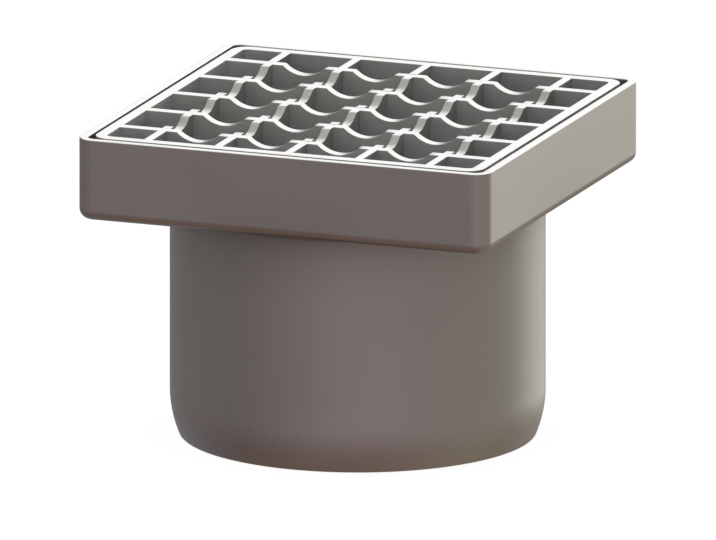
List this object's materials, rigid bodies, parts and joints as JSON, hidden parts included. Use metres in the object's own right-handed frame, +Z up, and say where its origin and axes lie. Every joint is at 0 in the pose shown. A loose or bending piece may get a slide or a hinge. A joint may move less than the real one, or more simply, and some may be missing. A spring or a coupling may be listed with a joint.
{
  "type": "floor drain grate",
  "caption": "Square stainless steel floor drain top: a shallow tray on a round spigot, with a lift-out mesh grate of scalloped slip-resistant bars.",
  "frame": {"origin": "centre of the spigot's lower end, on the surface that the drain top stands on", "axes": "+Z up along the spigot's axis, towards the grate; the tray's sides lie along X and Y, with the front facing -Y"},
  "size_m": [0.2, 0.2, 0.1505],
  "materials": {
    "tray_steel": "satin pickled stainless sheet",
    "spigot_steel": "satin pickled stainless tube",
    "grate_steel": "satin stainless flat band",
    "bar_steel": "satin stainless bars with cut edges"
  },
  "bodies": {
    "root": {"tray": "tray_steel", "spigot": "spigot_steel", "grate_border": "grate_steel", "bearing_bar_1": "bar_steel", "bearing_bar_2": "bar_steel", "bearing_bar_3": "bar_steel", "bearing_bar_4": "bar_steel", "bearing_bar_5": "bar_steel", "cross_bar_1": "bar_steel", "cross_bar_2": "bar_steel", "cross_bar_3": "bar_steel", "cross_bar_4": "bar_steel", "cross_bar_5": "bar_steel"}
  },
  "joints": []
}
